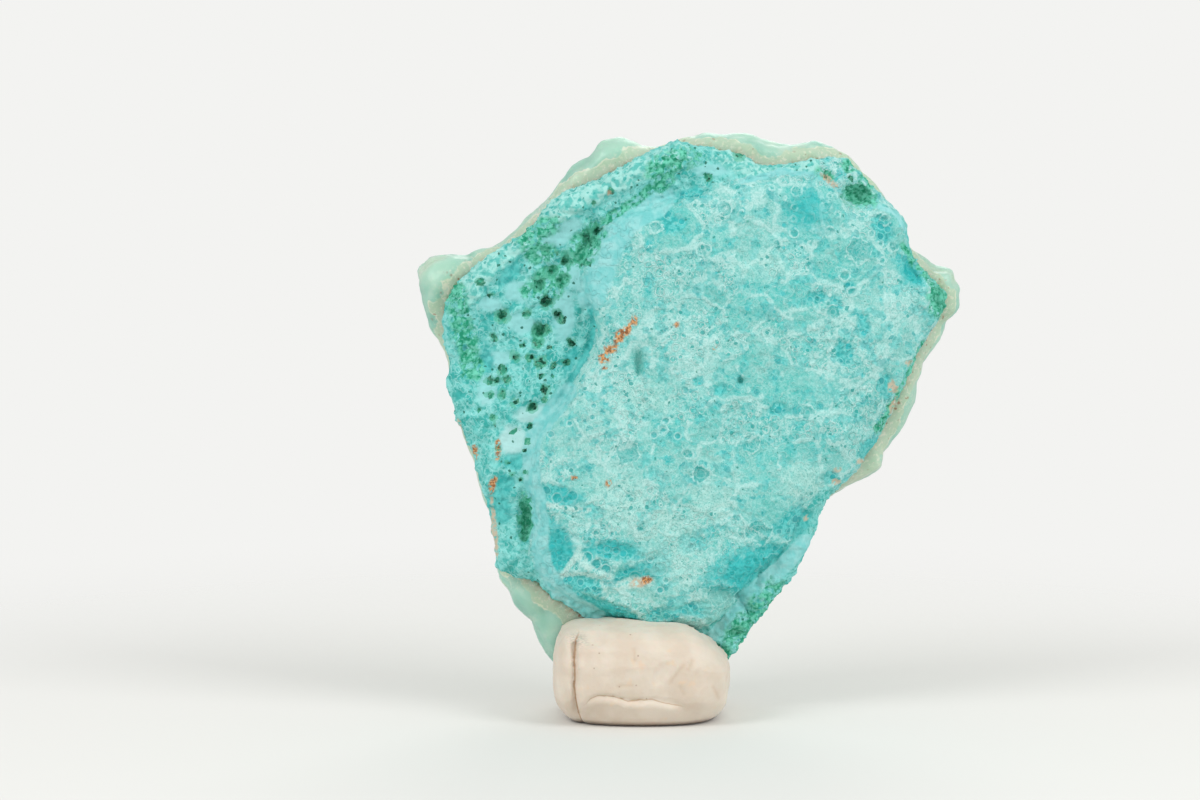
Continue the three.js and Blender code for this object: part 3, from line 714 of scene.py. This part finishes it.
plate_base = layered(
    tree, blend(tree, mottle(tree, place, 8.0, 4, 0.36, 0.64), colour(97, 191, 184), colour(134, 205, 199)),
    (times(tree, calm, 0.35), colour(101, 197, 189)),
    (times(tree, rise_between(tree, middle_random, 0.66, 0.76), busy, 0.55), colour(78, 190, 183)),
    (times(tree, share_of(tree, "deep_field"), 0.75), colour(56, 187, 183)),
    (times(tree, light_field, 0.75), colour(166, 217, 211)),
    (times(tree, veil, lively, 0.62), colour(162, 217, 211)),
    (times(tree, frost, lively, 0.3), colour(172, 224, 218)),
    (times(tree, large_inside, rise_between(tree, large_tint, 0.3, 0.8), 0.45), colour(92, 196, 189)),
    (times(tree, bubble_inside, rise_between(tree, bubble_tint, 0.4, 0.6), busy, lively, 0.85),
     colour(72, 184, 178)))

dark_zone = mottle(tree, scaled(tree, place, 1.9), 5.0, 4, 0.57, 0.61)
along_ridge = times(tree, beside_line, mottle(tree, scaled(tree, place, 1.6), 4.0, 3, 0.55, 0.6))
teal_zone = strongest(tree, (deep_teal_share, 1.0), (dark_zone, 0.65), (along_ridge, 0.6))
untouched = rest_of(tree, times(tree, teal_zone, 0.85))
teal_tone = blend(tree, rise_between(tree, teal_random, 0.1, 0.9), colour(8, 153, 157), colour(50, 186, 189))
between_cells = blend(tree, mottle(tree, place, 0.7, 3, 0.4, 0.6), colour(24, 170, 170), colour(98, 208, 206))
teal_cell = share_of(tree, "teal_cell")
plate_base = layered(
    tree, plate_base,
    (times(tree, teal_zone, 0.9), between_cells),
    (times(tree, teal_zone, teal_disc), teal_tone),
    (times(tree, rise_between(tree, ring, ON_LINE - 0.16, ON_LINE - 0.3), 0.8), colour(52, 170, 166)),
    (rise_between(tree, teal_cell, ON_LINE + 0.02, ON_LINE - 0.08), colour(56, 178, 178)))

broken = mottle(tree, place, 1.7, 2, 0.4, 0.56)
nested = math_node(tree, "SINE", times(tree, cloud(tree, loose, 3.4, 1), 95.0))
ring_line = times(tree, rise_between(tree, away_from(tree, ring, ON_LINE), 0.27, 0.1),
                  mottle(tree, place, 0.9, 3, 0.32, 0.52))
inner_line = rise_between(tree, away_from(tree, ring, ON_LINE - 0.75), 0.16, 0.04)
cell_line = rise_between(tree, away_from(tree, teal_cell, ON_LINE), 0.2, 0.06)
lines = strongest(
    tree, (ring_line, 0.7), (inner_line, 0.4), (cell_line, 0.6),
    (times(tree, wide_ridge, untouched), 0.72),
    (times(tree, middle_line, broken, lively, untouched), 0.45),
    (times(tree, large_wall, mottle(tree, place, 1.2, 2, 0.36, 0.5), lively, untouched), 0.7),
    (times(tree, contours(tree, loose, 1.3, 4, 0.035), lively, untouched), 0.6),
    (times(tree, contours(tree, place, 0.55, 2, 0.05), lively, untouched), 0.45),
    (times(tree, rise_between(tree, nested, 0.3, 0.95), ringed, untouched), 0.45),
    (times(tree, bubble_wall, busy, lively, untouched), 0.9),
    (times(tree, small_wall, busy_fine, lively, untouched), 0.9))
speckled = share_of(tree, "speckled")
dots = rise_between(tree, cells(tree, place, 0.42), 0.32, 0.18)
ridge_grains = mottle(tree, place, 0.8, 4, 0.3, 0.5)
# Small dots: dark spots of painted shade where tiny pits would be; the mesh has no hole there.
hole_shade = rise_between(tree, cells(tree, loose, 2.6), 0.1, 0.05)
small_dark = times(tree, small_inside, rise_between(tree, small_tint, 0.72, 0.8), busy_fine, lively)
grit = mottle(tree, place, 0.3, 3, 0.46, 0.56)
plate_colour = layered(
    tree, plate_base,
    (lines, colour(194, 232, 228)),
    (times(tree, teal_wall, teal_zone, 0.6), colour(146, 220, 215)),
    (times(tree, share_of(tree, "deep_wash"), 0.64), colour(40, 184, 185)),
    (times(tree, speckled, 0.4), colour(184, 228, 220)),
    (times(tree, dots, speckled, 0.55), colour(88, 176, 166)),
    (times(tree, share_of(tree, "ridge"), ridge_grains), colour(190, 228, 222)),
    (times(tree, hole_shade, 0.85), colour(48, 136, 126)),
    (times(tree, small_dark, 0.75), colour(26, 156, 152)),
    (times(tree, grit, 0.28), colour(62, 176, 168)))

# The lower part: rough blue-green stone with smooth pale patches, and a pale raised rim.
height = add_node(tree, "ShaderNodeSeparateXYZ", {0: place}).outputs[2]
pale_tone = blend(tree, rise_between(tree, height, 57.0, 50.0), colour(146, 214, 213), colour(174, 220, 218))
lower_teal = blend(tree, mottle(tree, loose, 1.2, 5, 0.38, 0.6), colour(40, 162, 160), colour(88, 198, 194))
lip_colour = layered(
    tree, blend(tree, mottle(tree, loose, 1.1, 4, 0.38, 0.58), colour(98, 192, 184), colour(164, 223, 216)),
    (times(tree, small_inside, rise_between(tree, small_tint, 0.66, 0.8), 0.7), colour(44, 164, 160)))
# Pin holes: small dark specks of painted shade; the mesh has no hole there.
pin_hole_shade = times(tree, rise_between(tree, cells(tree, warped(tree, place, 0.6, 0.5), 1.5), 0.2, 0.14),
                  mottle(tree, place, 3.4, 2, 0.48, 0.54), 0.9)
lower = layered(
    tree, blend(tree, mottle(tree, loose, 2.0, 5, 0.36, 0.6), colour(64, 176, 170), colour(128, 211, 206)),
    (times(tree, mottle(tree, loose, 0.7, 4, 0.52, 0.6), 0.6), colour(44, 160, 150)),
    (times(tree, teal_wall, broken, 0.6), colour(164, 225, 221)),
    (times(tree, contours(tree, loose, 1.3, 4, 0.05), 0.45), colour(160, 224, 220)),
    (share_of(tree, "pale"), pale_tone),
    (times(tree, deep_teal_share, 0.8), lower_teal),
    (share_of(tree, "lip"), lip_colour),
    (pin_hole_shade, colour(34, 108, 90)))

# Malachite, the pits' insides with their painted shade, and stains.
wall_colour = blend(tree, mottle(tree, loose, 1.6, 5, 0.3, 0.7), colour(118, 203, 202), colour(156, 218, 217))
green = blend(tree, mottle(tree, place, 0.7, 5, 0.36, 0.62), colour(34, 150, 116), colour(112, 208, 182))
uneven_halo = plus(tree, share_of(tree, "halo"), times(tree, cloud(tree, place, 1.1, 4), 2.4))
facet_random = part_of(tree, cells(tree, place, 0.8, output="Color"))
# Inside the pits and cavities, the green malachite and the pale bits are the stone's own colour. The
# near-black facets are painted shade of the hollows.
pit_colour_and_shade = layered(
    tree, blend(tree, rise_between(tree, facet_random, 0.3, 0.5), colour(18, 82, 64), colour(64, 162, 134)),
    (times(tree, mottle(tree, place, 0.5, 3, 0.48, 0.56), 0.5), colour(128, 196, 168)),
    (times(tree, malachite_share, 0.85), green))
uneven_pit = plus(tree, plus(tree, share_of(tree, "pit"), times(tree, facet_random, 0.3)),
                  times(tree, cloud(tree, place, 0.4, 3), 0.6))
rust_colour = blend(tree, mottle(tree, place, 0.4, 3, 0.4, 0.6), colour(146, 98, 64), colour(220, 166, 114))
whole = layered(
    tree, blend(tree, plate, lower, plate_colour),
    (share_of(tree, "wall"), wall_colour),
    (times(tree, malachite_share, mottle(tree, place, 1.1, 4, 0.4, 0.5)), green),
    (times(tree, rise_between(tree, uneven_halo, 1.75, 1.9), 0.6), colour(88, 180, 150)),
    (rise_between(tree, uneven_pit, 0.86, 0.92), pit_colour_and_shade),
    (times(tree, share_of(tree, "beige"), mottle(tree, place, 0.6, 4, 0.34, 0.54), 0.85),
     colour(206, 184, 158)),
    (times(tree, share_of(tree, "rust"), mottle(tree, place, 0.55, 4, 0.38, 0.48)), rust_colour))
tree.links.new(whole, surface.inputs["Base Color"])
surface.inputs["Roughness"].default_value = 0.8
surface.inputs["Specular IOR Level"].default_value = 0.25
raised_lines = strongest(tree, (ring_line, 0.7), (wide_ridge, 0.8), (large_wall, 0.5), (bubble_wall, 0.7))
grain = plus(tree, times(tree, cloud(tree, place, 0.22, 3), 0.35),
             times(tree, cloud(tree, place, 0.7, 3), 0.9))
relief = plus(tree, times(tree, raised_lines, plate, lively, 0.8), grain)
add_bump(tree, surface, relief, STONE_GRAIN)
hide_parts("chrysocolla")
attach(stone, "root")


# Chalcedony crust: a shell of translucent pale green quartz that grew over the rock's back in
# round lobes like grapes. It is waxy, with a yellowish skin and brown specks where it meets rock.
CRUST_STEP = 0.55 * MM
CRUST_GRAIN = 0.3 * MM
GLOW_DEPTH = 6 * MM
# Widths of the lobes and how far they rise.
BIG_LOBE = 7.5
BIG_RISE = 1.2
BACK_LOBE = 5.2
BACK_RISE = 1.9
SMALL_LOBE = 2.6
SMALL_RISE = 0.35
SUNK = 0.8
TUCK = 0.9
TOUCH = 1.6
# Where the crust's edge stands further out, or further in, [x, z, radius, growth].
BULGES = [[42, 46, 9, 0.9], [53, 66, 6, 0.6], [-37, 70, 9, 0.8], [-23, 21, 8, 0.7], [-20, 87, 11, -0.9],
          [7, 100, 14, -0.35], [27, 97, 8, -0.4]]

crust = even_copy("chalcedony_crust", "chalcedony_crust_lobes", CRUST_STEP, smoothing=3)
places, normals = points_of(crust)
rock_points, _ = points_of(stone)
rock_tree = BVHTree.FromPolygons(
    [Vector(p) for p in rock_points], [tuple(face.vertices) for face in stone.data.polygons])
to_rock = np.array([rock_tree.find_nearest(Vector(p), 12)[3] or 12 for p in places])
free = soft_step(to_rock, 0.9, 3.0)


def round_lobes(places, size, seed):
    """The height of round caps of that size in millimetres that stand close together, 0 to 1."""
    caps = np.empty(len(places))
    for i, point in enumerate(places / size + seed):
        near = noise.voronoi(Vector(point))[0][0]
        caps[i] = max(0, 1 - (near / 0.85) ** 2) ** 0.7
    return caps


big_lobes = round_lobes(places, BIG_LOBE, 2.0)
small_lobes = round_lobes(places, SMALL_LOBE, 5.0)
back = soft_step(normals[:, 1], 0.1, 0.7)
back_lobes = round_lobes(places, BACK_LOBE, 9.0)
lobes = BIG_RISE * big_lobes + SMALL_RISE * small_lobes - SUNK
lobes += back * (BACK_RISE * back_lobes + 0.5 * big_lobes - 1.3)
moved = places + normals * (free * lobes)[:, None]
for x, z, radius, growth in BULGES:
    reach = ellipse_share(places, x, z, radius, radius)
    moved += normals * (free * growth * (1 - soft_step(reach, 0.3, 1)))[:, None]
# Low at the right the crust stays behind the rock's edge, and close to the rock it lies on it.
moved[:, 0] -= TUCK * soft_step(places[:, 0], 4, 9) * (1 - soft_step(places[:, 2], 28, 35))
for i in np.flatnonzero(to_rock < TOUCH):
    on_rock = np.array(rock_tree.find_nearest(Vector(moved[i]))[0])
    moved[i] += (1 - soft_step(to_rock[i], TOUCH / 2, TOUCH)) * (on_rock - moved[i])
move_points(crust, moved)
keep_shares(
    crust, contact=1 - soft_step(to_rock + 0.8 * waver(places, 1.5), 0.6, 3.6),
    lobe_seam=free * (1 - soft_step(big_lobes, 0.25, 0.7)), rock_gap=to_rock / 2,
    seam=1 - soft_step(to_rock + 0.5 * waver(places, 0.8), 0.5, 1.3))
select_only(crust)
bpy.ops.object.shade_smooth()

tree, surface, place = new_material(crust, "chalcedony")
green = blend(tree, mottle(tree, place, 9.0, 3, 0.35, 0.65), colour(138, 189, 173), colour(164, 203, 185))
wavy_gap = plus(
    tree, share_of(tree, "rock_gap"), times(tree, minus(tree, cloud(tree, place, 5.0, 4), 0.5), 3.0))
inner_sheet = rise_between(tree, wavy_gap, 1.16, 1.04)
sheet_edge = rise_between(tree, away_from(tree, wavy_gap, 1.1), 0.1, 0.03)
seam_stain = blend(tree, mottle(tree, place, 0.9, 3, 0.45, 0.6), colour(206, 198, 172), colour(190, 160, 128))
contact = share_of(tree, "contact")
brown_specks = times(tree, rise_between(tree, cells(tree, warped(tree, place, 1.2, 0.9), 1.3), 0.24, 0.12),
                     mottle(tree, place, 3.0, 2, 0.45, 0.53))
stained = layered(
    tree, green,
    (times(tree, mottle(tree, place, 2.6, 5, 0.48, 0.7), 0.5), colour(186, 208, 190)),
    (times(tree, share_of(tree, "lobe_seam"), 0.55), colour(196, 210, 188)),
    (times(tree, inner_sheet, 0.55), colour(192, 202, 172)),
    (times(tree, sheet_edge, mottle(tree, place, 2.0, 2, 0.4, 0.6), 0.7), colour(220, 220, 200)),
    (share_of(tree, "seam"), seam_stain),
    (times(tree, mottle(tree, place, 0.5, 3, 0.54, 0.64), contact, 0.6), colour(226, 222, 204)),
    (times(tree, brown_specks, contact, 0.85), colour(150, 108, 78)))
tree.links.new(stained, surface.inputs["Base Color"])
surface.inputs["Roughness"].default_value = 0.34
surface.inputs["Subsurface Weight"].default_value = 0.8
surface.inputs["Subsurface Radius"].default_value = (0.8, 1.0, 0.85)
surface.inputs["Subsurface Scale"].default_value = GLOW_DEPTH
relief = plus(tree, cloud(tree, place, 1.2, 3), times(tree, cloud(tree, place, 0.25, 2), 0.2))
add_bump(tree, surface, relief, CRUST_GRAIN, 0.5)
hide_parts("chalcedony_crust")
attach(crust, "root")


# Putty: one lump of cream modelling putty, rolled and folded by hand, that the rock is pressed
# into. A fold runs down its front at the left and a crease crosses it near the foot.
PUTTY_STEP = 0.36 * MM
PUTTY_GRAIN = 0.12 * MM
PUTTY_SPREAD = 1.025
FOLD = [[-10.4, 16.8], [-11.1, 14.8], [-11.2, 11], [-11.1, 8.5], [-11.2, 6], [-10.9, 3.4], [-10.6, 0.4]]
CREASE = [[-9.4, 2.8], [-8.6, 4], [-7.2, 4.6], [-4.8, 4.4], [-2.4, 3.6], [1.6, 3.8], [4, 3.2], [6.8, 2.6]]
CREASE_LIFT = 1.2
FOLD_DEPTH = 0.3
CREASE_DEPTH = 0.2
SCRATCH_DEPTH = 0.1
LINE_WIDTH = 0.3
SCRATCHES = [[[6.8, 10.4], [5.6, 8.4], [4.6, 6.8]], [[8.2, 11.8], [7.6, 9.4]], [[-4, 6.2], [-1.6, 6.3]],
             [[6.2, 6.2], [6.8, 4.8]], [[-1.4, 13.6], [-1.2, 11.4]], [[11.6, 6], [12.6, 3.6]]]
# Places pressed in by a finger, [x, z, half width, half height, turn, depth].
THUMB_MARKS = [
    [3.4, 8.8, 1.3, 2.6, -25, 0.35], [-8.6, 15.4, 2.6, 1.3, -20, 0.7], [9.4, 8, 1.2, 2.6, -20, 0.15],
]
SMUDGE = (-10.6, 14.8, 1.3, 1.2)
FOOT_RISE = 4.4
FOOT_TUCK = 0.13
PULL_REACH = 2.4
BACK_PULL = 1.6

putty = even_copy("putty_base", "putty_lump", PUTTY_STEP, smoothing=6)
places, normals = points_of(putty)
facing = soft_step(-normals[:, 1], 0.0, 0.4)
raised = soft_step(places[:, 2], 1.0, 5.0)
rise = 0.35 * waver(places, 9.0, 2) * raised + 0.06 * waver(places, 1.6, 3, 2.0) * raised
fold_x, fold_z = np.array(FOLD[::-1]).T
right_of_fold = places[:, 0] - np.interp(places[:, 2], fold_z, fold_x)
in_fold = facing * (1 - soft_step(places[:, 2], 15.2, 16.8))
rise -= in_fold * FOLD_DEPTH * np.exp(-(right_of_fold / LINE_WIDTH) ** 2)
rise += in_fold * 0.35 * np.exp(-((right_of_fold + 1.5) / 1.1) ** 2)
rise += in_fold * 0.2 * np.exp(-((right_of_fold - 1.0) / 0.7) ** 2)
crease_x, crease_z = np.array(CREASE).T
over_crease = places[:, 2] - np.interp(places[:, 0], crease_x, crease_z)
in_crease = facing * soft_step(places[:, 0], -9.8, -8.4) * (1 - soft_step(places[:, 0], 5.4, 7.2))
rise -= in_crease * CREASE_DEPTH * np.exp(-(over_crease / 0.28) ** 2)
rise += in_crease * 0.22 * np.exp(-((over_crease + 0.9) / 0.7) ** 2)
scratch_gap = np.min([line_distance(places, line) for line in SCRATCHES], axis=0)
rise -= facing * SCRATCH_DEPTH * np.exp(-(scratch_gap / LINE_WIDTH) ** 2)
for x, z, half_width, half_height, turn, depth in THUMB_MARKS:
    reach = ellipse_share(places, x, z, half_width, half_height, turn)
    rise -= facing * depth * (1 - soft_step(reach, 0.5, 1.3))
moved = (places + normals * rise[:, None]) * (PUTTY_SPREAD, 1, 1)
# The crease and the marks above it stand higher than on the solid.
lifted = soft_step(moved[:, 2], 0.2, 2.6) * (1 - soft_step(moved[:, 2], 7.0, 14.0))
moved[:, 2] += CREASE_LIFT * facing * lifted
slope = soft_step(moved[:, 0], 6.0, 15.2)
moved[:, 2] *= 1 - 0.2 * slope * soft_step(moved[:, 2], 5.0, 14.0)
# The foot is rounded, and drawn in all round.
off_foot = 1 - np.clip(moved[:, 2] / FOOT_RISE, 0, 1)
tucked = 1 - np.sqrt(1 - off_foot ** 2)
moved[:, :2] *= (1 - FOOT_TUCK * tucked)[:, None]
moved[:, 1] *= 1 - 0.3 * off_foot * (moved[:, 0] / 15) ** 2
# The putty's top is drawn to the rock and the crust, which are pressed into it.
pressing = BVHTree.FromPolygons(
    [Vector(p) for p in np.vstack([rock_points, points_of(crust)[0]])],
    [tuple(face.vertices) for face in stone.data.polygons]
    + [tuple(v + len(rock_points) for v in face.vertices) for face in crust.data.polygons])
pull_reach = PULL_REACH + BACK_PULL * soft_step(moved[:, 0], 7, 10) * soft_step(moved[:, 1], 0, 3)
pull_up = 0.25 + 0.75 * soft_step(moved[:, 1], -1, 2)
for i, point in enumerate(moved):
    near = pressing.find_nearest(Vector(point), pull_reach[i])
    if near[0] is not None:
        pull = (np.array(near[0]) - point) * (1, 1, pull_up[i])
        moved[i] += (1 - soft_step(near[3], 0.5, pull_reach[i])) * pull
moved[:, 2] = np.maximum(moved[:, 2], 0)
move_points(putty, moved)
keep_shares(
    putty, fold=in_fold, crease=in_crease, right_of_fold=ON_LINE + right_of_fold,
    over_crease=ON_LINE + over_crease, scratch=facing * np.exp(-(scratch_gap / LINE_WIDTH) ** 2),
    smudge=facing * np.exp(-(ellipse_share(places, *SMUDGE) ** 2)))
select_only(putty)
bpy.ops.object.shade_smooth()

tree, surface, place = new_material(putty, "putty")
height = add_node(tree, "ShaderNodeSeparateXYZ", {0: place}).outputs[2]
orange = mottle(tree, scaled(tree, place, 1.7), 4.0, 5, 0.62, 0.76)
wavy = times(tree, minus(tree, cloud(tree, place, 1.4, 3), 0.5), 0.3)
from_fold = away_from(tree, plus(tree, share_of(tree, "right_of_fold"), wavy), ON_LINE)
from_crease = away_from(tree, plus(tree, share_of(tree, "over_crease"), wavy), ON_LINE)
flat_place = add_node(tree, "ShaderNodeVectorMath", {0: place, 1: (1, 1, 4)}, operation="MULTIPLY").outputs[0]
smudge = times(tree, share_of(tree, "smudge"), mottle(tree, flat_place, 0.6, 3, 0.4, 0.6))
speck = times(tree, rise_between(tree, cells(tree, place, 2.3), 0.1, 0.04),
              mottle(tree, place, 4.0, 2, 0.46, 0.54))
cream = layered(
    tree, blend(tree, mottle(tree, place, 5.0, 4, 0.35, 0.65), colour(214, 199, 182), colour(222, 210, 195)),
    (times(tree, orange, 0.35), colour(232, 196, 156)),
    (times(tree, rise_between(tree, from_fold, 0.17, 0.06), share_of(tree, "fold"), 0.8),
     colour(176, 138, 104)),
    (times(tree, rise_between(tree, from_crease, 0.13, 0.05), share_of(tree, "crease"), 0.6),
     colour(184, 146, 112)),
    (times(tree, share_of(tree, "scratch"), 0.4), colour(198, 174, 150)),
    (times(tree, smudge, 0.6), colour(150, 148, 138)),
    # Painted contact shadow: the lowest millimetre of the putty, where it stands on the floor, is darkened to
    # brown.
    (times(tree, rise_between(tree, height, 1.2, 0.2), 0.8), colour(128, 98, 76)),
    (times(tree, speck, 0.6), colour(158, 122, 98)))
tree.links.new(cream, surface.inputs["Base Color"])
surface.inputs["Roughness"].default_value = 0.72
surface.inputs["Specular IOR Level"].default_value = 0.3
surface.inputs["Subsurface Weight"].default_value = 0.12
surface.inputs["Subsurface Scale"].default_value = 1.2 * MM
surface.inputs["Sheen Weight"].default_value = 0.25
surface.inputs["Sheen Roughness"].default_value = 0.4
relief = plus(tree, cloud(tree, place, 0.5, 4), times(tree, cloud(tree, place, 2.4, 3), 1.2))
add_bump(tree, surface, relief, PUTTY_GRAIN, 0.5)
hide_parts("putty_base")
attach(putty, "root")
